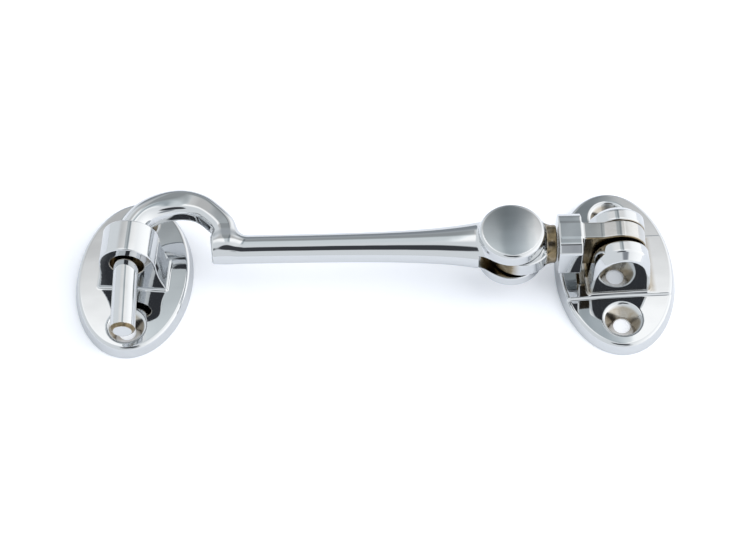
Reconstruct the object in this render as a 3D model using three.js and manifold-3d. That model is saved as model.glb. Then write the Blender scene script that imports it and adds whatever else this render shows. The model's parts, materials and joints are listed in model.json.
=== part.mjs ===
// Cabin hook and eye, universal pattern, chrome on brass, lying on its back with the hook in its eye.
// Millimetres, +Z up and out of the two plates. X runs along the hook, from the eye (-X) to the hinge (+X).
// The origin is the centre of the hinge plate's back face. Both plates stand on z = 0.
import * as THREE from "three";
import { mergeVertices } from "three/addons/utils/BufferGeometryUtils.js";
import Module from "manifold-3d";

const wasm = await Module();
wasm.setup();

// Driving dimensions
const PLATE_WIDTH = 30;
const PLATE_LENGTH = 47;
const PLATE_THICKNESS = 3.5;
const PLATE_EDGE_DRAFT = 0.5;
const PLATE_EDGE_RADIUS = 0.6;
const PAD_HEIGHT = 0.6;
const PAD_REACH = 8.7;
const SCREW_SPACING = 30.4;
const SCREW_HOLE = 4.2;
const SCREW_HOLE_LAND = 0.4;
const COUNTERSINK = 9.6;

const EYE_PLATE_WIDTH = 29.4;
const EYE_PLATE_LENGTH = 45;

const CLEARANCE = 0.3;
const AXIS_HEIGHT = 14.7;

const LUG_ARCH_HEIGHT = 13.5;
const LUG_RADIUS = 6.9;
const LUG_BASE_HALF_WIDTH = 7.7;
const LUGS_LENGTH = 16;
const LUG_EDGE = 1.4;
const LUG_GAP = 5.8;
const TONGUE_WIDTH = 4.7;
const HINGE_PIN_DIAMETER = 4.4;
const HINGE_PIN_WALL = 1.5;
const PIN_END_RECESS = 0.1;

const BLOCK_SIDE = 12.1;
const BLOCK_THICKNESS = 5.8;
const BLOCK_CHAMFER = 1.9;
const BLOCK_EDGE = 0.4;
const BLOCK_INNER_FACE = 9.5;
const TONGUE_RADIUS = 6.4;
const TONGUE_STEP = 0.3;

// The hook lies a little askew to the hinge plate, within the play of the tongue between the lugs.
const REST_YAW = -2.6;

const SPIGOT_DIAMETER = 5;
const SPIGOT_LENGTH = 4.6;
const NECK_DIAMETER = 9.4;
const NECK_EDGE = 0.6;

const KNUCKLE_DISTANCE = 26.6;
const KNUCKLE_RADIUS = 8.05;
const KNUCKLE_HEIGHT = 13.4;
const KNUCKLE_EDGE = 1.2;
const STEM_EYE_RADIUS = 7.7;
const STEM_EYE_OFFSET = 2.3;
const STEM_EYE_THICKNESS = 4.5;
const STEM_SHOULDER_ANGLE = 60;
const SLOT_DEPTH = 8.2;
const SLOT_PLAY_BELOW = 0.8;
const KNUCKLE_PIN_DIAMETER = 4.4;
const KNUCKLE_PIN_COVER = 1.8;

const ARM_LENGTH = 73.3;
const ARM_END_EDGE = 0.7;
const HOOK_PIN_DIAMETER = 6.2;
const HOOK_PIN_OFFSET = 94.3;
const HOOK_PIN_REACH = 22.9;
const HOOK_PIN_CHAMFER = 0.8;
const WEB_THICKNESS = 4.4;

const EYE_RADIUS = 6.9;
const EYE_BORE = 8.4;
const EYE_LENGTH = 8.8;
const EYE_EDGE = 0.5;
const EYE_FOOT_HALF_WIDTH = 8.7;
const EYE_HEIGHT = 14.3;
const EYE_SIDE_PLAY = 0.4;
const EYE_PLATE_SHIFT = 0.7;
const EYE_TWIST = -4.2;

// How far a cut runs past the face that it cuts, and a joined piece into the one that it joins
const BEYOND = 1;

// Sides of a large and of a small round
const ROUND = 40;
const SMALL_ROUND = 24;

// The arm's oval sections: distance from the knuckle axis, half width and half height
const ARM_SECTIONS = [
  [-ARM_LENGTH, 2.8, 2.8],
  [-ARM_LENGTH + ARM_END_EDGE, 3.5, 3.5],
  [-55, 3.5, 3.5],
  [-38, 3.65, 3.65],
  [-25, 4.15, 4.15],
  [-17, 4.7, 4.6],
  [-12, 5.3, 5.1],
  [-8.5, 6.2, 5.6],
  [-5.5, 7, 5.9],
  [-3, 7.2, 5.9],
];

// The gooseneck from the end of the arm, over the bend and down to the pin: along X, along Y, radius
const GOOSENECK = [
  [-ARM_LENGTH + 3.3, -1.4, 2],
  [-ARM_LENGTH + 3.1, 2.4, 2.85],
  [-ARM_LENGTH + 2.4, 6.6, 2.8],
  [-ARM_LENGTH - 0.6, 10.2, 2.95],
  [-ARM_LENGTH - 3.4, 12.4, 3.2],
  [-ARM_LENGTH - 7.6, 13.6, 3.55],
  [-ARM_LENGTH - 12.4, 13, 3.6],
  [-ARM_LENGTH - 16.8, 10.9, 3.5],
  [-HOOK_PIN_OFFSET + 1.6, 7.8, 3.3],
  [-HOOK_PIN_OFFSET + 0.3, 4.4, 3.15],
  [-HOOK_PIN_OFFSET, 0, HOOK_PIN_DIAMETER / 2],
];
const GOOSENECK_STEPS = 44;

// Solids

function toSolid(geometry) {
  const bare = geometry.index ? geometry.toNonIndexed() : geometry.clone();
  bare.deleteAttribute("normal");
  bare.deleteAttribute("uv");
  const merged = mergeVertices(bare, 1e-4);
  return new wasm.Manifold(new wasm.Mesh({
    numProp: 3,
    vertProperties: Float32Array.from(merged.attributes.position.array),
    triVerts: Uint32Array.from(merged.index.array),
  }));
}

function toMesh(name, solid, colour, roughness) {
  const data = solid.getMesh();
  const geometry = new THREE.BufferGeometry();
  geometry.setAttribute("position", new THREE.BufferAttribute(data.vertProperties, 3));
  geometry.setIndex(new THREE.BufferAttribute(data.triVerts, 1));
  const material = new THREE.MeshStandardMaterial({ color: colour, roughness, metalness: 1 });
  const mesh = new THREE.Mesh(geometry, material);
  mesh.name = name;
  return mesh;
}

// A box from its lowest to its highest corner.
function box(low, high) {
  const size = high.map((value, i) => value - low[i]);
  const geometry = new THREE.BoxGeometry(...size);
  geometry.translate(...low.map((value, i) => value + size[i] / 2));
  return toSolid(geometry);
}

// A profile of [radius, height] points turned about Z.
function turned(profile, segments = ROUND) {
  const points = profile.map(([radius, height]) => new THREE.Vector2(radius, height));
  const geometry = new THREE.LatheGeometry(points, segments);
  geometry.rotateX(Math.PI / 2);
  return geometry;
}

function cylinder(diameter, low, high, segments = ROUND) {
  const radius = diameter / 2;
  return turned([[0, low], [radius, low], [radius, high], [0, high]], segments);
}

// Turns a geometry made about Z so that its axis lies along X or Y.
const alongX = (geometry) => geometry.rotateY(Math.PI / 2);
const alongY = (geometry) => geometry.rotateX(-Math.PI / 2);

// A shape drawn in X and Z, extruded along Y over the given half length, with bevelled end edges.
function slabAlongY(shape, halfLength, bevel) {
  const geometry = new THREE.ExtrudeGeometry(shape, {
    depth: 2 * (halfLength - bevel),
    bevelEnabled: bevel > 0,
    bevelThickness: bevel,
    bevelSize: bevel,
    bevelOffset: -bevel,
    bevelSegments: 3,
    curveSegments: 14,
  });
  geometry.translate(0, 0, -(halfLength - bevel));
  geometry.rotateX(Math.PI / 2);
  return toSolid(geometry);
}

// A closed solid through rings of points, each ring with as many points as the next.
function throughRings(rings) {
  const count = rings[0].length;
  const positions = rings.flat().flatMap((point) => point.toArray());
  const index = [];
  for (let r = 0; r + 1 < rings.length; r += 1) {
    for (let i = 0; i < count; i += 1) {
      const a = r * count + i;
      const b = r * count + ((i + 1) % count);
      index.push(a, b, b + count, a, b + count, a + count);
    }
  }
  for (const [ring, flip] of [[0, true], [rings.length - 1, false]]) {
    for (let i = 1; i + 1 < count; i += 1) {
      const fan = [ring * count, ring * count + i, ring * count + i + 1];
      index.push(...(flip ? fan.reverse() : fan));
    }
  }
  const geometry = new THREE.BufferGeometry();
  geometry.setAttribute("position", new THREE.Float32BufferAttribute(positions, 3));
  geometry.setIndex(index);
  return toSolid(geometry);
}

// A ring square to X: an ellipse of half width y and half height z.
function ringAcrossX(x, halfWidth, halfHeight) {
  return Array.from({ length: ROUND }, (_, i) => {
    const angle = (2 * Math.PI * i) / ROUND;
    return new THREE.Vector3(x, halfWidth * Math.cos(angle), halfHeight * Math.sin(angle));
  });
}

// A round bar along a smooth curve in the XY plane, through places of [x, y, radius].
function bentBar(places, steps, sides) {
  const curve = new THREE.CatmullRomCurve3(places.map(([x, y]) => new THREE.Vector3(x, y, 0)));
  const up = new THREE.Vector3(0, 0, 1);
  const rings = [];
  for (let s = 0; s <= steps; s += 1) {
    const t = s / steps;
    const centre = curve.getPoint(t);
    const across = new THREE.Vector3().crossVectors(up, curve.getTangent(t));
    const at = t * (places.length - 1);
    const first = Math.min(Math.floor(at), places.length - 2);
    const radius = THREE.MathUtils.lerp(places[first][2], places[first + 1][2], at - first);
    rings.push(Array.from({ length: sides }, (_, i) => {
      const angle = (2 * Math.PI * i) / sides;
      return centre.clone()
        .addScaledVector(across, radius * Math.cos(angle))
        .addScaledVector(up, radius * Math.sin(angle));
    }));
  }
  return throughRings(rings);
}

// Plates

// An oval plate, its side drawn in a little towards the top.
function ovalPlate(width, length, thickness) {
  const radius = length / 2;
  const top = radius - PLATE_EDGE_DRAFT;
  const edge = PLATE_EDGE_RADIUS;
  const geometry = turned([
    [0, 0],
    [radius, 0],
    [top, thickness - edge],
    [top - edge * 0.3, thickness - edge * 0.3],
    [top - edge, thickness],
    [0, thickness],
  ], 72);
  geometry.scale(width / length, 1, 1);
  return toSolid(geometry);
}

function countersunkHoles() {
  const hole = SCREW_HOLE / 2;
  const mouth = COUNTERSINK / 2;
  const slope = (mouth - hole) / (PLATE_THICKNESS - SCREW_HOLE_LAND);
  const profile = [
    [0, -BEYOND],
    [hole, -BEYOND],
    [hole, SCREW_HOLE_LAND],
    [mouth + slope * BEYOND, PLATE_THICKNESS + BEYOND],
    [0, PLATE_THICKNESS + BEYOND],
  ];
  const near = toSolid(turned(profile).translate(0, -SCREW_SPACING / 2, 0));
  const far = toSolid(turned(profile).translate(0, SCREW_SPACING / 2, 0));
  return near.add(far);
}

// The lugs' outline in X and Z: straight sides that lean in to a round top.
function lugOutline() {
  const lean = Math.atan2(LUG_BASE_HALF_WIDTH - LUG_RADIUS, LUG_ARCH_HEIGHT - PLATE_THICKNESS);
  const shape = new THREE.Shape();
  shape.moveTo(-LUG_BASE_HALF_WIDTH, PLATE_THICKNESS - BEYOND);
  shape.lineTo(LUG_BASE_HALF_WIDTH, PLATE_THICKNESS - BEYOND);
  shape.absarc(0, LUG_ARCH_HEIGHT, LUG_RADIUS, lean, Math.PI - lean, false);
  shape.closePath();
  return shape;
}

function hingePlate() {
  const half = PLATE_WIDTH / 2;
  const pad = ovalPlate(PLATE_WIDTH, PLATE_LENGTH, PLATE_THICKNESS + PAD_HEIGHT)
    .intersect(box([-half, -PAD_REACH, 0], [half, PAD_REACH, AXIS_HEIGHT]));
  const slot = box(
    [-half, -LUG_GAP / 2, PLATE_THICKNESS + PAD_HEIGHT],
    [half, LUG_GAP / 2, AXIS_HEIGHT + 2 * LUG_RADIUS],
  );
  const bore = toSolid(alongY(cylinder(
    HINGE_PIN_DIAMETER + 2 * CLEARANCE,
    -LUGS_LENGTH / 2 + HINGE_PIN_WALL - CLEARANCE,
    LUGS_LENGTH / 2 + BEYOND,
    SMALL_ROUND,
  )).translate(0, 0, AXIS_HEIGHT));
  return ovalPlate(PLATE_WIDTH, PLATE_LENGTH, PLATE_THICKNESS)
    .subtract(countersunkHoles())
    .add(pad)
    .add(slabAlongY(lugOutline(), LUGS_LENGTH / 2, LUG_EDGE).subtract(slot))
    .subtract(bore);
}

function hingePin() {
  const low = -LUGS_LENGTH / 2 + HINGE_PIN_WALL;
  const high = LUGS_LENGTH / 2 - PIN_END_RECESS;
  const pin = alongY(cylinder(HINGE_PIN_DIAMETER, low, high, SMALL_ROUND));
  return toSolid(pin.translate(0, 0, AXIS_HEIGHT));
}

// The foot flares out of the eye's round body, with hollow sides, down to the plate.
function eyeOutline() {
  const foot = EYE_FOOT_HALF_WIDTH;
  const footTop = PLATE_THICKNESS + PAD_HEIGHT;
  const flareBend = footTop + 1.8;
  const flareTop = EYE_HEIGHT - 2;
  const shape = new THREE.Shape();
  shape.moveTo(-foot, PLATE_THICKNESS - BEYOND);
  shape.lineTo(foot, PLATE_THICKNESS - BEYOND);
  shape.lineTo(foot, footTop);
  shape.quadraticCurveTo(EYE_RADIUS, flareBend, EYE_RADIUS, flareTop);
  shape.absarc(0, EYE_HEIGHT, EYE_RADIUS, 0, Math.PI, false);
  shape.lineTo(-EYE_RADIUS, flareTop);
  shape.quadraticCurveTo(-EYE_RADIUS, flareBend, -foot, footTop);
  shape.closePath();
  return shape;
}

function eyePlate() {
  const bore = alongY(cylinder(EYE_BORE, -EYE_LENGTH, EYE_LENGTH)).translate(0, 0, EYE_HEIGHT);
  return ovalPlate(EYE_PLATE_WIDTH, EYE_PLATE_LENGTH, PLATE_THICKNESS)
    .subtract(countersunkHoles())
    .add(slabAlongY(eyeOutline(), EYE_LENGTH / 2, EYE_EDGE))
    .subtract(toSolid(bore));
}

// Swivel block and stem, along X from the hinge axis and at the height of that axis

function swivelBlock() {
  const half = BLOCK_SIDE / 2;
  const cut = half - BLOCK_CHAMFER;
  const outline = new THREE.Shape([
    [-cut, -half], [cut, -half], [half, -cut], [half, cut],
    [cut, half], [-cut, half], [-half, cut], [-half, -cut],
  ].map(([y, z]) => new THREE.Vector2(y, z)));
  const outerFace = -BLOCK_INNER_FACE - BLOCK_THICKNESS;
  const body = new THREE.ExtrudeGeometry(outline, {
    depth: BLOCK_THICKNESS - 2 * BLOCK_EDGE,
    bevelThickness: BLOCK_EDGE,
    bevelSize: BLOCK_EDGE,
    bevelOffset: -BLOCK_EDGE,
    bevelSegments: 1,
  });
  alongX(body);
  body.translate(outerFace + BLOCK_EDGE, 0, 0);
  const tongueHalf = TONGUE_WIDTH / 2;
  const barHalf = half - TONGUE_STEP;
  const bar = box(
    [-BLOCK_INNER_FACE - BEYOND, -tongueHalf, -barHalf],
    [0, tongueHalf, barHalf],
  );
  const eye = toSolid(alongY(cylinder(2 * TONGUE_RADIUS, -tongueHalf, tongueHalf)));
  const pinBore = toSolid(alongY(cylinder(
    HINGE_PIN_DIAMETER + 2 * CLEARANCE,
    -TONGUE_WIDTH,
    TONGUE_WIDTH,
    SMALL_ROUND,
  )));
  const spigotBore = toSolid(alongX(cylinder(
    SPIGOT_DIAMETER + 2 * CLEARANCE,
    outerFace - BEYOND,
    outerFace + SPIGOT_LENGTH + CLEARANCE,
    SMALL_ROUND,
  )));
  return toSolid(body).add(bar).add(eye).subtract(pinBore).subtract(spigotBore);
}

// The stem: a flat eye that narrows to a round neck, and a threaded spigot, shown plain, in the block.
function stem() {
  const neckFace = -BLOCK_INNER_FACE - BLOCK_THICKNESS - CLEARANCE;
  const neckStart = -KNUCKLE_DISTANCE + KNUCKLE_RADIUS + CLEARANCE;
  const neckRadius = NECK_DIAMETER / 2;
  const shoulder = THREE.MathUtils.degToRad(STEM_SHOULDER_ANGLE);
  const eyeEnd = neckStart + NECK_EDGE;
  const eyeEndHalf = neckRadius - NECK_EDGE;
  const eyeCentre = -KNUCKLE_DISTANCE + STEM_EYE_OFFSET;
  const outline = new THREE.Shape();
  outline.absarc(eyeCentre, 0, STEM_EYE_RADIUS, shoulder, 2 * Math.PI - shoulder, false);
  outline.lineTo(eyeEnd, -eyeEndHalf);
  outline.lineTo(eyeEnd, eyeEndHalf);
  outline.closePath();
  const eye = new THREE.ExtrudeGeometry(outline, {
    depth: STEM_EYE_THICKNESS,
    bevelEnabled: false,
    curveSegments: 32,
  });
  eye.translate(0, 0, -STEM_EYE_THICKNESS / 2);
  const neck = alongX(turned([
    [0, neckStart],
    [neckRadius - NECK_EDGE, neckStart],
    [neckRadius, neckStart + NECK_EDGE],
    [neckRadius, neckFace],
    [0, neckFace],
  ]));
  const spigot = alongX(cylinder(
    SPIGOT_DIAMETER,
    neckFace - NECK_EDGE,
    neckFace + SPIGOT_LENGTH,
    SMALL_ROUND,
  ));
  const bore = cylinder(
    KNUCKLE_PIN_DIAMETER + 2 * CLEARANCE,
    -STEM_EYE_THICKNESS,
    STEM_EYE_THICKNESS,
    SMALL_ROUND,
  );
  bore.translate(-KNUCKLE_DISTANCE, 0, 0);
  return toSolid(eye).add(toSolid(neck)).add(toSolid(spigot)).subtract(toSolid(bore));
}

// Hook, about the knuckle axis, with the arm towards -X and at the height of that axis

// The web that rounds the inner corner between the arm and the gooseneck.
function gooseneckWeb() {
  const shape = new THREE.Shape();
  shape.moveTo(3, 0);
  shape.lineTo(14, 2.4);
  shape.lineTo(12, 3.1);
  shape.quadraticCurveTo(6.6, 3.6, 4.2, 8.2);
  shape.lineTo(2.4, 7.4);
  shape.closePath();
  const geometry = new THREE.ExtrudeGeometry(shape, {
    depth: WEB_THICKNESS,
    bevelEnabled: false,
    curveSegments: 12,
  });
  geometry.translate(-ARM_LENGTH, 0, -WEB_THICKNESS / 2);
  return toSolid(geometry);
}

function knuckle() {
  const half = KNUCKLE_HEIGHT / 2;
  const edge = KNUCKLE_EDGE;
  const softEdge = edge * 0.3;
  const radius = KNUCKLE_RADIUS;
  return toSolid(turned([
    [0, -half],
    [radius - edge, -half],
    [radius - softEdge, -half + softEdge],
    [radius, -half + edge],
    [radius, half - edge],
    [radius - softEdge, half - softEdge],
    [radius - edge, half],
    [0, half],
  ]));
}

function hookPin() {
  const radius = HOOK_PIN_DIAMETER / 2;
  const end = -HOOK_PIN_REACH;
  const pin = alongY(turned([
    [0, end],
    [radius - HOOK_PIN_CHAMFER, end],
    [radius, end + HOOK_PIN_CHAMFER],
    [radius, BEYOND],
    [0, BEYOND],
  ], ROUND / 2));
  return toSolid(pin.translate(-HOOK_PIN_OFFSET, 0, 0));
}

function hookArm() {
  const arm = throughRings(ARM_SECTIONS.map(([x, wide, high]) => ringAcrossX(x, wide, high)));
  const slotTop = STEM_EYE_THICKNESS / 2 + CLEARANCE;
  const slotFloor = -STEM_EYE_THICKNESS / 2 - SLOT_PLAY_BELOW;
  const across = 2 * KNUCKLE_RADIUS;
  const slot = box([-SLOT_DEPTH, -across, slotFloor], [across, across, slotTop]);
  const bore = cylinder(
    KNUCKLE_PIN_DIAMETER + 2 * CLEARANCE,
    -KNUCKLE_HEIGHT / 2 - BEYOND,
    KNUCKLE_HEIGHT / 2 - KNUCKLE_PIN_COVER + CLEARANCE,
    SMALL_ROUND,
  );
  return arm
    .add(knuckle())
    .add(bentBar(GOOSENECK, GOOSENECK_STEPS, ROUND / 2))
    .add(gooseneckWeb())
    .add(hookPin())
    .subtract(slot)
    .subtract(toSolid(bore));
}

function knucklePin() {
  const low = -KNUCKLE_HEIGHT / 2 + PIN_END_RECESS;
  const high = KNUCKLE_HEIGHT / 2 - KNUCKLE_PIN_COVER;
  return toSolid(cylinder(KNUCKLE_PIN_DIAMETER, low, high, SMALL_ROUND));
}

// Assembly

const CHROME = 0xc9cdd2;
const BRASS = 0xb59a63;

const part = new THREE.Group();
part.add(toMesh("hinge_plate", hingePlate(), CHROME, 0.08));
part.add(toMesh("hinge_pin", hingePin(), BRASS, 0.3));

const onAxis = new THREE.Group();
onAxis.position.z = AXIS_HEIGHT;
onAxis.rotation.z = THREE.MathUtils.degToRad(REST_YAW);
onAxis.add(toMesh("swivel_block", swivelBlock(), CHROME, 0.1));
onAxis.add(toMesh("stem", stem(), CHROME, 0.12));
part.add(onAxis);

const hook = new THREE.Group();
hook.position.x = -KNUCKLE_DISTANCE;
hook.add(toMesh("hook_arm", hookArm(), CHROME, 0.06));
hook.add(toMesh("knuckle_pin", knucklePin(), BRASS, 0.3));
onAxis.add(hook);

const eye = toMesh("eye_plate", eyePlate(), CHROME, 0.08);
eye.position.set(-HOOK_PIN_OFFSET + EYE_SIDE_PLAY, EYE_PLATE_SHIFT, -AXIS_HEIGHT);
eye.rotation.z = THREE.MathUtils.degToRad(EYE_TWIST);
hook.add(eye);

export default part;
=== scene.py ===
import json
import math

import bpy
import numpy as np
from mathutils import Matrix, Vector


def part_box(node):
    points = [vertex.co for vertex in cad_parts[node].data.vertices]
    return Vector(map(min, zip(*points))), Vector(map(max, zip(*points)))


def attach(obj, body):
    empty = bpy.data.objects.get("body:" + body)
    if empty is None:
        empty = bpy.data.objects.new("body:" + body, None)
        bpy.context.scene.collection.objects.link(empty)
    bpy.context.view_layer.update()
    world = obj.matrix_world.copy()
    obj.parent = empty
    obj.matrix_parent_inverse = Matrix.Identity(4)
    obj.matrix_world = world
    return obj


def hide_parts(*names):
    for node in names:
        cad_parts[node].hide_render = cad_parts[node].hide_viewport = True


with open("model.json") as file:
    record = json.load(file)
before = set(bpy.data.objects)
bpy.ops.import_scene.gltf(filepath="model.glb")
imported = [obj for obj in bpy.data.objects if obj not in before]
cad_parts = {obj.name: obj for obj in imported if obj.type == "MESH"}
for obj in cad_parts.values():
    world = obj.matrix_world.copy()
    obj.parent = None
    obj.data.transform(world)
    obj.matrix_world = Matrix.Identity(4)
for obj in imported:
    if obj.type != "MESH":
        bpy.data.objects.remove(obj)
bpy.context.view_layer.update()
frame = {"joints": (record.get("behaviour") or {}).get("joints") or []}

# A chrome cabin hook and eye. Each casting is a signed distance in millimetres, negative inside, in a frame
# of its own. It is meshed, turned and moved into the row frame, and scaled to metres.

MM = 0.001

# Places, from the frame
joints = {joint["name"]: joint for joint in frame["joints"]}
axis_x, axis_y, _ = joints["stem_swivel"]["axis"]
knuckle_x, knuckle_y, knuckle_z = (value / MM for value in joints["knuckle"]["pos_m"])
eye_low, eye_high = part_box("eye_plate")

AXIS_HEIGHT = knuckle_z
HOOK_YAW = math.atan2(axis_y, axis_x)
EYE_TWIST = math.radians(-4.2)
HINGE_CENTRE = (0, 0, 0)
SWIVEL_CENTRE = (0, 0, AXIS_HEIGHT)
KNUCKLE_CENTRE = (knuckle_x, knuckle_y, AXIS_HEIGHT)
EYE_CENTRE = ((eye_low.x + eye_high.x) / 2 / MM, (eye_low.y + eye_high.y) / 2 / MM, 0)

# Plates. Lugs and boss start at ROOT_HEIGHT, inside the plate.
PLATE_WIDTH, PLATE_LENGTH = 30, 47
EYE_PLATE_WIDTH, EYE_PLATE_LENGTH = 29.4, 45
PLATE_THICKNESS = 3.5
PLATE_DRAFT = 0.9
PLATE_EDGE = 0.8
PLATE_BACK_EDGE = 0.25
PLATE_CROWN = 0.35
PLATE_BORE_EDGE = 0.2
PAD_HEIGHT = 0.6
PAD_REACH = 9.05
PAD_SLOPE = 0.6
SCREW_SPACING = 30.4
SCREW_HOLE_RADIUS = 2.1
SCREW_HOLE_FILLET = 0.2
COUNTERSINK_RADIUS = 4.7
COUNTERSINK_EDGE = 0.4
HOLE_LAND = 0.4
CONE_SLOPE = (COUNTERSINK_RADIUS - SCREW_HOLE_RADIUS) / (PLATE_THICKNESS - HOLE_LAND)
FOOT_FILLET = 0.8
ROOT_HEIGHT = 2
HIDDEN_EDGE = 0.1

# Hinge. The lugs' bevel widens from its foot's size to its top's between two heights.
LUG_ARCH_HEIGHT = 13.5
LUG_RADIUS = 6.9
LUG_BASE_HALF_WIDTH = 7.7
LUGS_HALF_LENGTH = 8
LUG_GAP_HALF = 2.9
LUG_GAP_FILLET = 0.7
LUG_BEVEL_FOOT, LUG_BEVEL_TOP = 0.6, 1.9
LUG_BEVEL_LOW, LUG_BEVEL_HIGH = 10, 19
LUG_EDGE = 0.3
PIN_RADIUS = 2.2
PIN_PLAY = 0.06
PIN_EDGE = 0.35
PIN_INSET = 0.1
HINGE_PIN_WALL = 1.5

# Swivel block and its tongue
BLOCK_HALF = 6.05
BLOCK_CHAMFER = 1.9
BLOCK_CHAMFER_EDGE = 0.3
BLOCK_INNER, BLOCK_OUTER = -9.5, -15.3
BLOCK_EDGE = 0.4
TONGUE_HALF_WIDTH = 2.35
TONGUE_RADIUS = 6.4
TONGUE_HALF_HEIGHT = 5.75
TONGUE_ROOT = BLOCK_OUTER + 1
TONGUE_NECK_FILLET = 1.2
TONGUE_FOOT_FILLET = 0.6
TONGUE_PLAY = 0.16
LINK_BORE_EDGE = 0.15

# Stem: a flat eye with a web that tapers to the round neck
STEM_EYE_RADIUS = 7.75
STEM_EYE_OFFSET = 2.3
STEM_EYE_HALF = 2.25
STEM_EYE_EDGE = 0.3
STEM_FLAT_END = 9.35
WEB_START, WEB_END = 2, 8.95
WEB_HALF_WIDTH, WEB_TAPER = 7.2, 0.36
WEB_FILLET = 1.0
NECK_RADIUS = 4.7
NECK_START, NECK_END = 8.345, 11.005
NECK_EDGE = 0.5
NECK_FILLET = 0.8

# Hook: the knuckle, the arm, which swells towards it, and the pin
KNUCKLE_RADIUS = 8.05
KNUCKLE_HALF_HEIGHT = 6.25
KNUCKLE_CROWN = 0.25
KNUCKLE_DOME_RADIUS = 150
KNUCKLE_TOP_EDGE, KNUCKLE_FOOT_EDGE = 1.0, 0.5
KNUCKLE_FILLET = 1.1
SLOT_DEPTH = 8.15
SLOT_TOP, SLOT_FLOOR = 2.55, -3.05
SLOT_EDGE = 0.35
PIN_COVER = 1.8
ARM_START = -5
ARM_LENGTH = 73.3
ARM_RADIUS = 3.48
ARM_END_EDGE = 0.45
SWELL_START, SWELL_LENGTH = -3, 12
SWELL_WIDTH, SWELL_HEIGHT = 3.9, 2.1
HOOK_PIN_OFFSET = 94.3
HOOK_PIN_RADIUS = 3.05
HOOK_PIN_START = -3
HOOK_PIN_REACH = 22.9
HOOK_PIN_CHAMFER = 0.75
HOOK_PIN_EDGE = 0.15

# The gooseneck's centre line, along X and Y from the knuckle, and its radius
GOOSENECK = np.array([
    [-ARM_LENGTH + 3.4, 1.8, 2.6],
    [-ARM_LENGTH + 3.2, 4.2, 2.8],
    [-ARM_LENGTH + 2.3, 6.9, 2.9],
    [-ARM_LENGTH - 0.6, 10.2, 2.95],
    [-ARM_LENGTH - 3.4, 12.4, 3.2],
    [-ARM_LENGTH - 7.6, 13.6, 3.5],
    [-ARM_LENGTH - 12.4, 13.0, 3.6],
    [-ARM_LENGTH - 16.8, 10.9, 3.5],
    [-HOOK_PIN_OFFSET + 1.6, 7.8, 3.3],
    [-HOOK_PIN_OFFSET + 0.3, 4.4, 3.15],
    [-HOOK_PIN_OFFSET, 0.0, HOOK_PIN_RADIUS],
    [-HOOK_PIN_OFFSET, -4.0, HOOK_PIN_RADIUS],
])

# Its section is flat at first and turns round before GOOSENECK_ROUND_FROM. Places and lengths along it are
# counted in points of the centre line. All of it lies on the -X side of GOOSENECK_SIDE.
GOOSENECK_SIDE = -62
GOOSENECK_FLAT = 2.85
GOOSENECK_RISE = 0.45
GOOSENECK_EDGE = 1.9
GOOSENECK_FILLET = 3.2
GOOSENECK_LOW_FROM, GOOSENECK_ROUND_FROM = 5, 7.5
GOOSENECK_CHANGE = 3
GOOSENECK_SAMPLES = 6

# Eye. Its foot flares out, less on the left.
EYE_RADIUS = 6.9
EYE_BORE_RADIUS = 4.2
EYE_HALF_LENGTH = 4.4
EYE_HEIGHT = 14.3
EYE_EDGE = 0.35
EYE_FOOT_FLARE_LEFT, EYE_FOOT_FLARE_RIGHT = 1.2, 1.8
EYE_FOOT_HEIGHT, EYE_FOOT_POWER = 4.6, 1.3


# Signed distances

def smooth_min(a, b, k):
    """The nearer of two surfaces, with a fillet about k wide where they meet."""
    h = np.clip(0.5 + 0.5 * (b - a) / k, 0, 1)
    return b * (1 - h) + a * h - k * h * (1 - h)


def smooth_max(a, b, k):
    """What two solids share, with its edge rounded over about k."""
    return -smooth_min(-a, -b, k)


def rounded(a, b, radius):
    """What two solids share, with a true round edge of that radius."""
    inside = np.minimum(np.maximum(a + radius, b + radius), 0)
    return inside + np.hypot(np.maximum(a + radius, 0), np.maximum(b + radius, 0)) - radius


def oval(x, y, half_x, half_y):
    """An ellipse, close to a true distance near its edge."""
    k1 = np.hypot(x / half_x, y / half_y)
    k2 = np.hypot(x / half_x**2, y / half_y**2)
    return k1 * (k1 - 1) / np.maximum(k2, 1e-6)


def step(value, low, high):
    """0 below low, 1 above high, and smooth between them."""
    t = np.clip((value - low) / (high - low), 0, 1)
    return t * t * (3 - 2 * t)


def within(limit, value, fade):
    """1 where value is below the limit by fade or more, 0 where it is above the limit."""
    return step(limit - value, 0, fade)


def beyond(limit, value, fade):
    """1 where value is above the limit by fade or more, 0 where it is below the limit."""
    return step(value - limit, 0, fade)


def screw_holes(x, y, z):
    """Two countersunk holes on the plate's long axis."""
    radius = np.hypot(x, np.abs(y) - SCREW_SPACING / 2)
    cone = (radius - SCREW_HOLE_RADIUS - CONE_SLOPE * (z - HOLE_LAND)) / math.hypot(1, CONE_SLOPE)
    return smooth_min(cone, radius - SCREW_HOLE_RADIUS, SCREW_HOLE_FILLET)


def plate(x, y, z, width, length, pad):
    """An oval plate with its holes. A pad raises the middle of its top, as far as PAD_REACH along Y."""
    lift = pad * within(PAD_REACH, np.abs(y), PAD_SLOPE)
    lift = lift + PLATE_CROWN * (0.5 - np.minimum((2 * x / width) ** 2 + (2 * y / length) ** 2, 1))
    side = oval(x, y, width / 2, length / 2) + PLATE_DRAFT * z / PLATE_THICKNESS
    solid = rounded(side, z - PLATE_THICKNESS - lift, PLATE_EDGE)
    solid = smooth_max(solid, -z, PLATE_BACK_EDGE)
    return smooth_max(solid, -screw_holes(x, y, z), COUNTERSINK_EDGE)


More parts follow.
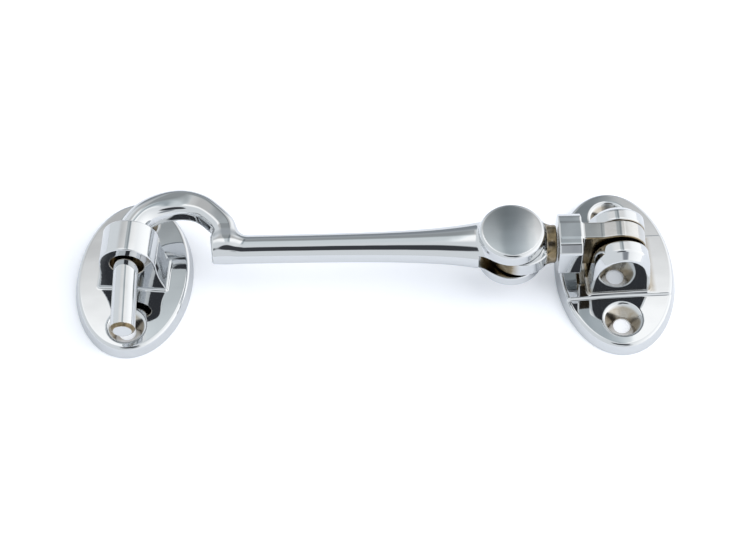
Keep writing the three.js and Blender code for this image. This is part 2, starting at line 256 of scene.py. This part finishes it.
def lugs(x, y, z):
    """An arched block with a bevel round each end, cut through by the gap for the tongue."""
    above = z - LUG_ARCH_HEIGHT
    lean = (LUG_BASE_HALF_WIDTH - LUG_RADIUS) / (LUG_ARCH_HEIGHT - PLATE_THICKNESS)
    straight = (np.abs(x) - LUG_RADIUS + above * lean) / math.hypot(1, lean)
    side = np.where(above > 0, np.hypot(x, above) - LUG_RADIUS, straight)
    ends = np.abs(y) - LUGS_HALF_LENGTH
    solid = smooth_max(side, ends, LUG_EDGE)
    bevel = LUG_BEVEL_FOOT + (LUG_BEVEL_TOP - LUG_BEVEL_FOOT) * step(z, LUG_BEVEL_LOW, LUG_BEVEL_HIGH)
    solid = smooth_max(solid, (side + ends + bevel) * math.sqrt(0.5), LUG_EDGE)
    gap = np.minimum(LUG_GAP_HALF - np.abs(y), z - PLATE_THICKNESS - PAD_HEIGHT)
    solid = smooth_max(solid, gap, LUG_GAP_FILLET)
    return smooth_max(solid, ROOT_HEIGHT - z, HIDDEN_EDGE)


def hinge_plate(x, y, z):
    """The hinge end's backplate. Its pin's bore is blind at the -Y end."""
    solid = plate(x, y, z, PLATE_WIDTH, PLATE_LENGTH, PAD_HEIGHT)
    solid = smooth_min(solid, lugs(x, y, z), FOOT_FILLET)
    bore = np.hypot(x, z - AXIS_HEIGHT) - PIN_RADIUS - PIN_PLAY
    bore = np.maximum(bore, -LUGS_HALF_LENGTH + HINGE_PIN_WALL - y)
    return smooth_max(solid, -bore, PLATE_BORE_EDGE)


def hinge_pin(x, y, z):
    ends = np.maximum(y - LUGS_HALF_LENGTH + PIN_INSET, -LUGS_HALF_LENGTH + HINGE_PIN_WALL - y)
    return rounded(np.hypot(x, z - AXIS_HEIGHT) - PIN_RADIUS, ends, PIN_EDGE)


def eye_plate(x, y, z):
    height = np.maximum(z - PLATE_THICKNESS - PAD_HEIGHT, 0)
    flare = np.where(x < 0, EYE_FOOT_FLARE_LEFT, EYE_FOOT_FLARE_RIGHT)
    half = EYE_RADIUS + flare * np.exp(-((height / EYE_FOOT_HEIGHT) ** EYE_FOOT_POWER))
    side = np.where(z > EYE_HEIGHT, np.hypot(x, z - EYE_HEIGHT) - EYE_RADIUS, np.abs(x) - half)
    boss = rounded(side, np.abs(y) - EYE_HALF_LENGTH, EYE_EDGE)
    boss = np.maximum(boss, ROOT_HEIGHT - z)
    solid = smooth_min(plate(x, y, z, EYE_PLATE_WIDTH, EYE_PLATE_LENGTH, 0), boss, FOOT_FILLET)
    bore = np.hypot(x, z - EYE_HEIGHT) - EYE_BORE_RADIUS
    return smooth_max(solid, -bore, PLATE_BORE_EDGE)


def swivel_block(x, y, z):
    """About the hinge's axis, with the block towards -X."""
    wide, high = np.abs(y), np.abs(z)
    corner = (wide + high - 2 * BLOCK_HALF + BLOCK_CHAMFER) * math.sqrt(0.5)
    section = smooth_max(np.maximum(wide, high) - BLOCK_HALF, corner, BLOCK_CHAMFER_EDGE)
    middle = (BLOCK_INNER + BLOCK_OUTER) / 2
    block = rounded(section, np.abs(x - middle) - (BLOCK_INNER - BLOCK_OUTER) / 2, BLOCK_EDGE)
    bar = np.maximum(np.maximum(x, TONGUE_ROOT - x), high - TONGUE_HALF_HEIGHT)
    flat = smooth_min(bar, np.hypot(x, z) - TONGUE_RADIUS, TONGUE_NECK_FILLET)
    tongue = rounded(flat, wide - TONGUE_HALF_WIDTH, BLOCK_EDGE)
    solid = smooth_min(block, tongue, TONGUE_FOOT_FILLET)
    return smooth_max(solid, PIN_RADIUS + TONGUE_PLAY - np.hypot(x, z), LINK_BORE_EDGE)


def stem(x, y, z):
    """About the knuckle axis, with the neck towards +X."""
    eye = np.hypot(x - STEM_EYE_OFFSET, y) - STEM_EYE_RADIUS
    web = np.maximum(np.abs(y) - WEB_HALF_WIDTH + WEB_TAPER * x, x - WEB_END)
    web = np.maximum(web, WEB_START - x)
    flat = rounded(smooth_min(eye, web, WEB_FILLET), np.abs(z) - STEM_EYE_HALF, STEM_EYE_EDGE)
    flat = np.maximum(flat, x - STEM_FLAT_END)
    ends = np.abs(x - (NECK_START + NECK_END) / 2) - (NECK_END - NECK_START) / 2
    neck = rounded(np.hypot(y, z) - NECK_RADIUS, ends, NECK_EDGE)
    solid = smooth_min(flat, neck, NECK_FILLET)
    return smooth_max(solid, PIN_RADIUS + PIN_PLAY - np.hypot(x, y), LINK_BORE_EDGE)


def spline_bends(values):
    """Second derivatives of the natural cubic spline through values at 0, 1, 2 and so on."""
    count = len(values)
    system = np.eye(count)
    pull = np.zeros_like(values)
    for i in range(1, count - 1):
        system[i, i - 1:i + 2] = (1, 4, 1)
        pull[i] = 6 * (values[i - 1] - 2 * values[i] + values[i + 1])
    return np.linalg.solve(system, pull)


GOOSENECK_BENDS = spline_bends(GOOSENECK)


def gooseneck_at(t):
    """Place and radius on the gooseneck at t, and their first and second derivatives."""
    first = np.clip(t.astype(int), 0, len(GOOSENECK) - 2)
    u = (t - first)[:, None]
    v = 1 - u
    a, b = GOOSENECK[first], GOOSENECK[first + 1]
    bend_a, bend_b = GOOSENECK_BENDS[first], GOOSENECK_BENDS[first + 1]
    place = v * a + u * b + ((v**3 - v) * bend_a + (u**3 - u) * bend_b) / 6
    slope = b - a + ((1 - 3 * v**2) * bend_a + (3 * u**2 - 1) * bend_b) / 6
    return place, slope, v * bend_a + u * bend_b


def nearest_on_gooseneck(x, y):
    """The nearest of some samples along the centre line, moved closer in three Newton steps."""
    last = len(GOOSENECK) - 1
    samples = np.linspace(0, last, GOOSENECK_SAMPLES * last + 1)
    places = gooseneck_at(samples)[0]
    gap = (x[:, None] - places[:, 0]) ** 2 + (y[:, None] - places[:, 1]) ** 2
    t = samples[gap.argmin(axis=1)]
    for _ in range(3):
        place, slope, bend = gooseneck_at(t)
        off = place[:, :2] - np.stack([x, y], axis=1)
        pull = (off * slope[:, :2]).sum(1)
        stiffness = (slope[:, :2] ** 2).sum(1) + (off * bend[:, :2]).sum(1)
        t = np.clip(t - np.clip(pull / np.maximum(stiffness, 1), -0.2, 0.2), 0, last)
    return t


def gooseneck(x, y, z):
    t = nearest_on_gooseneck(x, y)
    place = gooseneck_at(t)[0]
    across = np.hypot(place[:, 0] - x, place[:, 1] - y)
    height = GOOSENECK_FLAT + GOOSENECK_RISE * within(GOOSENECK_LOW_FROM, t, GOOSENECK_CHANGE)
    flat = rounded(across - place[:, 2], np.abs(z) - height, GOOSENECK_EDGE)
    flatness = within(GOOSENECK_ROUND_FROM, t, GOOSENECK_CHANGE)
    return flat * flatness + (np.hypot(across, z) - place[:, 2]) * (1 - flatness)


def hook_pin(x, y, z):
    """The straight pin that drops into the eye, with a chamfered end."""
    side = np.hypot(x + HOOK_PIN_OFFSET, z) - HOOK_PIN_RADIUS
    end = -HOOK_PIN_REACH - y
    solid = np.maximum(rounded(side, end, HOOK_PIN_EDGE), (side + end + HOOK_PIN_CHAMFER) * math.sqrt(0.5))
    return np.maximum(solid, y - HOOK_PIN_START)


def hook_arm(x, y, z):
    """About the knuckle axis, with the arm towards -X."""
    swell = np.exp((np.minimum(x, SWELL_START) - SWELL_START) / SWELL_LENGTH)
    bar = oval(y, z, ARM_RADIUS + SWELL_WIDTH * swell, ARM_RADIUS + SWELL_HEIGHT * swell)
    arm = rounded(bar, -ARM_LENGTH - x, ARM_END_EDGE)
    arm = np.maximum(arm, x - ARM_START)
    radius = np.hypot(x, y)
    top = z + radius**2 / (2 * KNUCKLE_DOME_RADIUS) - KNUCKLE_HALF_HEIGHT - KNUCKLE_CROWN
    knuckle = rounded(radius - KNUCKLE_RADIUS, top, KNUCKLE_TOP_EDGE)
    knuckle = rounded(knuckle, -z - KNUCKLE_HALF_HEIGHT, KNUCKLE_FOOT_EDGE)
    solid = smooth_min(arm, knuckle, KNUCKLE_FILLET)
    far = x < GOOSENECK_SIDE
    if far.any():
        there = x[far], y[far], z[far]
        bend = np.minimum(gooseneck(*there), hook_pin(*there))
        solid[far] = smooth_min(solid[far], bend, GOOSENECK_FILLET)
    slot = np.minimum(np.minimum(x + SLOT_DEPTH, SLOT_TOP - z), z - SLOT_FLOOR)
    solid = smooth_max(solid, slot, SLOT_EDGE)
    bore = np.maximum(radius - PIN_RADIUS - PIN_PLAY, z - KNUCKLE_HALF_HEIGHT + PIN_COVER)
    return smooth_max(solid, -bore, LINK_BORE_EDGE)


def knuckle_pin(x, y, z):
    ends = np.maximum(-z - KNUCKLE_HALF_HEIGHT + PIN_INSET, z - KNUCKLE_HALF_HEIGHT + PIN_COVER)
    return rounded(np.hypot(x, y) - PIN_RADIUS, ends, PIN_EDGE)


# Where the plating is thin and dull: 0 on the polished faces, 1 deep in the recesses. Above about 0.55 the
# colour is also darkened further, a painted shade in the slots, bores and gaps between parts. A mask starts a
# little before its recess does, so that the edge is tinted too.

COUNTERSINK_DULLNESS = 0.55
LUG_FOOT_DULLNESS = 0.5
TONGUE_RIM_DULLNESS = 0.18


def plate_recess(x, y, z):
    """The countersinks."""
    mouth = SCREW_HOLE_RADIUS + CONE_SLOPE * np.maximum(z - HOLE_LAND, 0)
    holes = within(mouth + 0.4, np.hypot(x, np.abs(y) - SCREW_SPACING / 2), 0.3)
    return holes * within(PLATE_THICKNESS - 0.2, z, 0.8) * COUNTERSINK_DULLNESS


def hinge_recess(x, y, z):
    """The countersinks, the gap between the lugs, and the lugs' feet."""
    above = beyond(PLATE_THICKNESS + 0.2, z, 0.5)
    gap = within(LUG_GAP_HALF + 0.35, np.abs(y), 0.3) * within(LUG_BASE_HALF_WIDTH + 0.5, np.abs(x), 0.5)
    feet = within(LUGS_HALF_LENGTH + 0.3, np.abs(y), 0.6) * within(LUG_BASE_HALF_WIDTH + 1.9, np.abs(x), 1.5)
    feet = feet * within(PLATE_THICKNESS + 4.5, z, 3.5) * LUG_FOOT_DULLNESS
    return np.maximum(plate_recess(x, y, z), np.maximum(gap, feet) * above)


def eye_recess(x, y, z):
    """The countersinks and the eye's bore."""
    bore = within(EYE_BORE_RADIUS + 0.25, np.hypot(x, z - EYE_HEIGHT), 0.3)
    return np.maximum(plate_recess(x, y, z), bore)


def swivel_recess(x, y, z):
    """The tongue's flat sides, and its rim a little."""
    tongue = beyond(BLOCK_INNER + 0.2, x, 0.8)
    rim = within(TONGUE_HALF_WIDTH - 0.05, np.abs(y), 0.3)
    return tongue * (1 - (1 - TONGUE_RIM_DULLNESS) * rim)


def stem_recess(x, y, z):
    """The neck, and the eye as far as it lies in the slot."""
    return np.maximum(beyond(NECK_START - 0.3, x, 0.7), within(2, x, 3))


def hook_recess(x, y, z):
    """The slot, and a ring round the chamfer of the pin's end."""
    slot = within(SLOT_TOP + 0.2, z, 0.2) * beyond(SLOT_FLOOR - 0.2, z, 0.2)
    slot = slot * beyond(-SLOT_DEPTH - 0.3, x, 0.3) * within(KNUCKLE_RADIUS - 0.4, np.hypot(x, y), 0.5)
    from_pin_axis = np.hypot(x + HOOK_PIN_OFFSET, z)
    ring = within(-HOOK_PIN_REACH + HOOK_PIN_CHAMFER + 0.1, y, 0.15)
    ring = ring * beyond(HOOK_PIN_RADIUS - HOOK_PIN_CHAMFER - 0.1, from_pin_axis, 0.15)
    return np.maximum(slot, ring)


def no_recess(x, y, z):
    return np.zeros_like(x)


# Meshing

def grid_values(sdf, axes):
    """The signed distance at each point of the grid, slab by slab."""
    slab = 24
    values = np.empty([len(axis) for axis in axes], np.float32)
    for start in range(0, len(axes[0]), slab):
        x, y, z = np.meshgrid(axes[0][start:start + slab], axes[1], axes[2], indexing="ij")
        values[start:start + slab] = sdf(x.ravel(), y.ravel(), z.ravel()).reshape(x.shape)
    return values


def surface_net(values):
    """One point per cell that the surface crosses, in grid units, and the quads between them."""
    shape = np.array(values.shape)
    strides = np.array([shape[1] * shape[2], shape[2], 1])
    inside = values < 0
    cells, points, quads = [], [], []
    for axis in range(3):
        b, c = (axis + 1) % 3, (axis + 2) % 3
        low = tuple(slice(0, -1) if i == axis else slice(None) for i in range(3))
        high = tuple(slice(1, None) if i == axis else slice(None) for i in range(3))
        edges = np.argwhere(inside[low] != inside[high])
        near = values[tuple(edges.T)]
        past = edges.copy()
        past[:, axis] += 1
        place = edges.astype(float)
        place[:, axis] += near / (near - values[tuple(past.T)])
        base = edges @ strides
        ring = np.stack([base - strides[b] - strides[c], base - strides[c], base, base - strides[b]], 1)
        cells.append(ring.ravel())
        points.append(np.repeat(place, 4, axis=0))
        quads.append(np.where((near < 0)[:, None], ring, ring[:, ::-1]))
    cells, points, quads = map(np.concatenate, (cells, points, quads))
    used, index = np.unique(cells, return_inverse=True)
    count = np.bincount(index)
    vertices = np.stack([np.bincount(index, points[:, i]) / count for i in range(3)], 1)
    return vertices, np.searchsorted(used, quads)


def gradient(sdf, p, h=0.015):
    steps = np.eye(3) * h
    return np.stack([sdf(*(p + d).T) - sdf(*(p - d).T) for d in steps], 1) / (2 * h)


def mesh_of(sdf, low, high, cell):
    """The surface's vertices, moved onto it in three Newton steps, its quads and its normals.
    The grid reaches a few cells past the box on each side."""
    axes = [np.arange(lo - 2.5 * cell, hi + 3 * cell, cell) for lo, hi in zip(low, high)]
    points, quads = surface_net(grid_values(sdf, axes))
    points = points * cell + np.array([axis[0] for axis in axes])
    for _ in range(3):
        slope = gradient(sdf, points)
        move = sdf(*points.T)[:, None] * slope / np.maximum((slope**2).sum(1), 0.2)[:, None]
        points = points - np.clip(move, -cell / 2, cell / 2)
    normals = gradient(sdf, points)
    normals /= np.linalg.norm(normals, axis=1)[:, None] + 1e-9
    return points, quads, normals


def make_piece(node, body, sdf, low, high, cell, centre, yaw, recess, material):
    """Meshes one casting, puts it in the row frame, and lets it stand for its CAD node.
    low and high are the corners of a box around the casting, in its own frame."""
    points, quads, normals = mesh_of(sdf, low, high, cell)
    turn = np.array(Matrix.Rotation(yaw, 3, "Z"))
    placed = (points @ turn.T + np.array(centre)) * MM
    mesh = bpy.data.meshes.new(node + "_casting")
    mesh.from_pydata(placed.tolist(), [], quads.tolist())
    mesh.polygons.foreach_set("use_smooth", np.ones(len(quads), bool))
    mesh.normals_split_custom_set_from_vertices((normals @ turn.T).tolist())
    layer = mesh.attributes.new("recess", "FLOAT", "POINT")
    layer.data.foreach_set("value", recess(*points.T).astype(np.float32))
    mesh.materials.append(material)
    piece = bpy.data.objects.new(node + "_casting", mesh)
    bpy.context.scene.collection.objects.link(piece)
    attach(piece, body)
    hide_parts(node)


# Materials: scales are per metre, and heights in metres

BLOTCH_SCALE = 420
HAZE_SCALE = 160
HAZE_TINT = (0.9, 0.91, 0.93)
# Painted shade: how dark the dull colour gets deepest in the recesses, as a share of it
RECESS_PAINTED_SHADE = 0.35
SCRATCH_TURN = (0.2, 0.3, 0.5)
SCRATCH_SCALE = (90, 1400, 1400)
SCRATCH_STRENGTH, SCRATCH_HEIGHT = 0.05, 0.00003
WAVE_SCALE = 110
WAVE_STRENGTH, WAVE_HEIGHT = 0.12, 0.0006
FLOOR_SCALE = 30
FLOOR_SHADES = (0.90, 0.92, 0.97), (0.92, 0.94, 0.985)
FLOOR_GLOW = 0.15


def node_tree(name):
    material = bpy.data.materials.new(name)
    material.use_nodes = True
    tree = material.node_tree
    tree.nodes.clear()
    return material, tree


def add(tree, kind, inputs=None, **settings):
    """A node with its settings, its input values, and links where an input is given a socket."""
    node = tree.nodes.new(kind)
    for key, value in settings.items():
        setattr(node, key, value)
    for key, value in (inputs or {}).items():
        if isinstance(value, bpy.types.NodeSocket):
            tree.links.new(value, node.inputs[key])
        else:
            node.inputs[key].default_value = value
    return node


def ramp(tree, factor, stops, between="LINEAR"):
    """A colour ramp through [position, grey or colour] stops."""
    node = add(tree, "ShaderNodeValToRGB", {"Fac": factor})
    node.color_ramp.interpolation = between
    while len(node.color_ramp.elements) < len(stops):
        node.color_ramp.elements.new(0.5)
    for element, (position, colour) in zip(node.color_ramp.elements, stops):
        element.position = position
        element.color = (*colour, 1) if isinstance(colour, tuple) else (colour, colour, colour, 1)
    return node.outputs["Color"]


def noise(tree, vector, scale, detail=2.0, roughness=0.5, distortion=0.0):
    return add(tree, "ShaderNodeTexNoise", {
        "Vector": vector, "Scale": scale, "Detail": detail,
        "Roughness": roughness, "Distortion": distortion,
    }).outputs["Fac"]


def mix_numbers(tree, factor, under, over):
    """The Mix node has its two numbers on sockets 2 and 3."""
    return add(tree, "ShaderNodeMix", {"Factor": factor, 2: under, 3: over}).outputs[0]


def mix_colours(tree, factor, under, over):
    """The Mix node has its two colours on sockets 6 and 7."""
    return add(tree, "ShaderNodeMix", {"Factor": factor, 6: under, 7: over}, data_type="RGBA").outputs[2]


def polished_metal(name, bright, dull, gloss, bare):
    """Polished plate. Where the recess layer is 1, the plating is thin and the duller metal shows, and its
    colour is darkened further there as painted shade.
    bright and dull are the two colours, gloss and bare the roughness of each."""
    material, tree = node_tree(name)
    place = add(tree, "ShaderNodeTexCoord").outputs["Object"]
    recess = add(tree, "ShaderNodeAttribute", attribute_name="recess").outputs["Fac"]
    blotches = ramp(tree, noise(tree, place, BLOTCH_SCALE, 4, 0.6, 0.6), [(0.3, 0.55), (0.72, 1.0)])
    # The recess layer with blotches: thin plating, and past 0.55 painted shade as well
    thin_and_shaded = add(tree, "ShaderNodeMath", {0: recess, 1: blotches}, operation="MULTIPLY").outputs[0]
    haze = ramp(tree, noise(tree, place, HAZE_SCALE, 3, 0.55), [(0.35, 0.94), (0.7, 1.0)])
    hazed = tuple(part * tint for part, tint in zip(bright, HAZE_TINT))
    plating = mix_colours(tree, haze, (*hazed, 1), (*bright, 1))
    # Past 0.55 the dull colour is darkened further, deepest in the recesses: painted shade.
    dull_and_painted_shade = ramp(tree, thin_and_shaded, [(0.55, dull), (1.0, tuple(RECESS_PAINTED_SHADE * part for part in dull))])
    cover = add(tree, "ShaderNodeMapRange", {"Value": thin_and_shaded, "From Max": 0.7}).outputs["Result"]
    scratches = noise(tree, add(tree, "ShaderNodeMapping", {
        "Vector": place, "Rotation": SCRATCH_TURN, "Scale": SCRATCH_SCALE,
    }).outputs["Vector"], 1.0, 5, 0.65)
    polish = ramp(tree, scratches, [(0.35, gloss * 0.7), (0.62, gloss), (0.8, gloss * 2.2)])
    swell = noise(tree, place, WAVE_SCALE, 1.5, 0.4)
    waves = add(tree, "ShaderNodeBump", {
        "Strength": WAVE_STRENGTH, "Distance": WAVE_HEIGHT, "Height": swell,
    }).outputs["Normal"]
    grain = add(tree, "ShaderNodeBump", {
        "Strength": SCRATCH_STRENGTH, "Distance": SCRATCH_HEIGHT, "Height": scratches, "Normal": waves,
    }).outputs["Normal"]
    shader = add(tree, "ShaderNodeBsdfPrincipled", {
        "Base Color": mix_colours(tree, cover, plating, dull_and_painted_shade),
        "Roughness": mix_numbers(tree, thin_and_shaded, polish, bare),
        "Normal": grain,
        "Metallic": 1.0,
    })
    add(tree, "ShaderNodeOutputMaterial", {"Surface": shader.outputs[0]})
    return material


def floor_material():
    """A white table. A little glow, which only the camera sees, keeps it white without lighting the metal."""
    material, tree = node_tree("white_table")
    place = add(tree, "ShaderNodeTexCoord").outputs["Object"]
    shade = ramp(tree, noise(tree, place, FLOOR_SCALE, 2), list(zip((0.3, 0.7), FLOOR_SHADES)))
    seen = add(tree, "ShaderNodeLightPath").outputs["Is Camera Ray"]
    glow = add(tree, "ShaderNodeMath", {0: seen, 1: FLOOR_GLOW}, operation="MULTIPLY").outputs[0]
    shader = add(tree, "ShaderNodeBsdfPrincipled", {
        "Base Color": shade, "Roughness": 0.7,
        "Emission Color": (0.95, 0.97, 1.0, 1), "Emission Strength": glow,
    })
    add(tree, "ShaderNodeOutputMaterial", {"Surface": shader.outputs[0]})
    return material


# Camera, in front of the object and above it. Its distance is in metres and its angles in degrees.

AIM = Vector((-0.0600, 0.0041, 0))
CAMERA_DISTANCE = 0.524
CAMERA_AZIMUTH, CAMERA_ELEVATION, CAMERA_ROLL = -2.6, 57.1, 1.07
LENS, SENSOR_WIDTH = 99.9, 36


def from_bearing(azimuth, elevation):
    """The direction towards a viewer there, in degrees. Azimuth 0 is at -Y, and 90 at +X."""
    azimuth, elevation = math.radians(azimuth), math.radians(elevation)
    flat = math.cos(elevation)
    return Vector((math.sin(azimuth) * flat, -math.cos(azimuth) * flat, math.sin(elevation)))


TOWARDS_CAMERA = from_bearing(CAMERA_AZIMUTH, CAMERA_ELEVATION)


def facing(towards, distance):
    """Stands that far from AIM and looks back at it."""
    turn = towards.to_track_quat("Z", "Y").to_matrix().to_4x4()
    return Matrix.Translation(AIM + towards * distance) @ turn


def make_camera():
    data = bpy.data.cameras.new("camera")
    data.lens = LENS
    data.sensor_width = SENSOR_WIDTH
    camera = bpy.data.objects.new("camera", data)
    bpy.context.scene.collection.objects.link(camera)
    roll = Matrix.Rotation(-math.radians(CAMERA_ROLL), 4, "Z")
    camera.matrix_world = facing(TOWARDS_CAMERA, CAMERA_DISTANCE) @ roll
    bpy.context.scene.camera = camera


# Studio: a white tent over a white table. Its ceiling is grey in the middle, with bright panels either side,
# and it has a dark opening that the camera looks through.

TENT_STRENGTH = 1.05
SIDES = [(0.0, (0.86, 0.90, 0.93)), (0.5, (0.84, 0.87, 0.90)), (1.0, (1.5, 1.5, 1.5))]

# The ceiling: its middle, the degrees from there to where it starts and ends fading into the sides, and its
# brightness from left to right, over directions whose X is from -CEILING_HALF_WIDTH to CEILING_HALF_WIDTH
CEILING_TOWARDS = from_bearing(180, 57)
CEILING_INNER, CEILING_OUTER = 18, 36
CEILING_HALF_WIDTH = 0.25
CEILING = [
    (0.10, (1.15, 1.18, 1.20)), (0.28, (1.05, 1.08, 1.10)), (0.33, (0.76, 0.80, 0.82)),
    (0.40, (0.54, 0.58, 0.60)), (0.50, (0.62, 0.66, 0.68)), (0.59, (0.50, 0.54, 0.56)),
    (0.65, (0.25, 0.29, 0.31)), (0.73, (0.44, 0.48, 0.51)), (0.79, (0.60, 0.64, 0.66)),
    (0.83, (1.25, 1.25, 1.25)), (0.92, (1.02, 1.04, 1.06)),
]

# It gets darker towards the back: from and to these values of the direction's Y, by these gains
CEILING_NEAR_Y, CEILING_FAR_Y = 0.48, 0.61
CEILING_NEAR_GAIN, CEILING_FAR_GAIN = 1.35, 0.62

# Patches: the middle, the degrees from there to where it starts and ends fading, and the colour. They are the
# horizon behind the object, a grey panel in front and a little to the right, and the camera's opening.
PATCHES = [
    (from_bearing(180, 3), 16, 34, (0.30, 0.33, 0.36, 1)),
    (from_bearing(14, 34), 4, 13, (0.30, 0.32, 0.35, 1)),
    (TOWARDS_CAMERA, 14, 19, (0.055, 0.058, 0.066, 1)),
]

KEY_TOWARDS = from_bearing(70, 50)
KEY_DISTANCE, KEY_SIZE, KEY_POWER = 1.2, 0.9, 5
TABLE_REACH = 3.0


def tent_patch(tree, direction, towards, inner, outer):
    """1 within inner degrees of a direction, 0 beyond outer."""
    dot = add(tree, "ShaderNodeVectorMath", {0: direction, 1: towards}, operation="DOT_PRODUCT")
    return add(tree, "ShaderNodeMapRange", {
        "Value": dot.outputs["Value"],
        "From Min": math.cos(math.radians(outer)),
        "From Max": math.cos(math.radians(inner)),
    }, interpolation_type="SMOOTHSTEP").outputs["Result"]


def spread(tree, value, half_width):
    """0 at -half_width, 1 at half_width."""
    limits = {"Value": value, "From Min": -half_width, "From Max": half_width}
    return add(tree, "ShaderNodeMapRange", limits).outputs["Result"]


def make_tent():
    world = bpy.data.worlds.new("tent")
    bpy.context.scene.world = world
    world.use_nodes = True
    tree = world.node_tree
    tree.nodes.clear()
    direction = add(tree, "ShaderNodeVectorMath", {
        0: add(tree, "ShaderNodeTexCoord").outputs["Generated"],
    }, operation="NORMALIZE").outputs["Vector"]
    parts = add(tree, "ShaderNodeSeparateXYZ", {0: direction}).outputs
    colour = ramp(tree, spread(tree, parts["X"], 1.0), SIDES)
    ceiling = ramp(tree, spread(tree, parts["X"], CEILING_HALF_WIDTH), CEILING, "B_SPLINE")
    gain = add(tree, "ShaderNodeMapRange", {
        "Value": parts["Y"], "From Min": CEILING_NEAR_Y, "From Max": CEILING_FAR_Y,
        "To Min": CEILING_NEAR_GAIN, "To Max": CEILING_FAR_GAIN,
    }).outputs["Result"]
    ceiling = add(tree, "ShaderNodeVectorMath", {0: ceiling, "Scale": gain}, operation="SCALE").outputs[0]
    cover = tent_patch(tree, direction, CEILING_TOWARDS, CEILING_INNER, CEILING_OUTER)
    colour = mix_colours(tree, cover, colour, ceiling)
    for towards, inner, outer, shade in PATCHES:
        colour = mix_colours(tree, tent_patch(tree, direction, towards, inner, outer), colour, shade)
    background = add(tree, "ShaderNodeBackground", {"Color": colour, "Strength": TENT_STRENGTH})
    add(tree, "ShaderNodeOutputWorld", {"Surface": background.outputs[0]})


def make_key_light():
    """A soft light from the right, which the metal doesn't mirror."""
    data = bpy.data.lights.new("key", "AREA")
    data.shape = "DISK"
    data.size = KEY_SIZE
    data.energy = KEY_POWER
    light = bpy.data.objects.new("key", data)
    bpy.context.scene.collection.objects.link(light)
    light.visible_glossy = False
    light.matrix_world = facing(KEY_TOWARDS, KEY_DISTANCE)


def make_table():
    mesh = bpy.data.meshes.new("table")
    corners = [(-1, -1), (1, -1), (1, 1), (-1, 1)]
    mesh.from_pydata([(x * TABLE_REACH, y * TABLE_REACH, 0) for x, y in corners], [], [(0, 1, 2, 3)])
    mesh.materials.append(floor_material())
    table = bpy.data.objects.new("table", mesh)
    bpy.context.scene.collection.objects.link(table)


make_camera()
make_tent()
make_key_light()
make_table()

chrome = polished_metal(
    "chrome", bright=(0.655, 0.67, 0.68), dull=(0.30, 0.235, 0.14), gloss=0.045, bare=0.26)
brass = polished_metal(
    "pin_brass", bright=(0.62, 0.50, 0.30), dull=(0.40, 0.31, 0.18), gloss=0.22, bare=0.35)

PLATE_CELL = 0.22
SMALL_CELL = 0.8 * PLATE_CELL
HOOK_CELL = 1.1 * PLATE_CELL
PIN_CELL = 0.2

make_piece("hinge_plate", "hinge_end", hinge_plate, (-15, -23.5, 0), (15, 23.5, 20.4), PLATE_CELL,
           HINGE_CENTRE, 0, hinge_recess, chrome)
make_piece("hinge_pin", "hinge_end", hinge_pin, (-2.2, -6.5, 12.5), (2.2, 8, 17), PIN_CELL,
           HINGE_CENTRE, 0, no_recess, brass)
make_piece("swivel_block", "swivel", swivel_block, (-15.3, -6.1, -6.5), (6.5, 6.1, 6.5), SMALL_CELL,
           SWIVEL_CENTRE, HOOK_YAW, swivel_recess, chrome)
make_piece("stem", "stem", stem, (-6, -8, -4.8), (11.2, 8, 4.8), SMALL_CELL,
           KNUCKLE_CENTRE, HOOK_YAW, stem_recess, chrome)
make_piece("hook_arm", "hook", hook_arm, (-98, -23, -6.6), (8.2, 17.4, 6.6), HOOK_CELL,
           KNUCKLE_CENTRE, HOOK_YAW, hook_recess, chrome)
make_piece("knuckle_pin", "hook", knuckle_pin, (-2.2, -2.2, -6.3), (2.2, 2.2, 4.5), PIN_CELL,
           KNUCKLE_CENTRE, HOOK_YAW, no_recess, brass)
make_piece("eye_plate", "eye", eye_plate, (-14.8, -22.6, 0), (14.8, 22.6, 21.3), PLATE_CELL,
           EYE_CENTRE, HOOK_YAW + EYE_TWIST, eye_recess, chrome)

bpy.context.scene.view_settings.view_transform = "Standard"
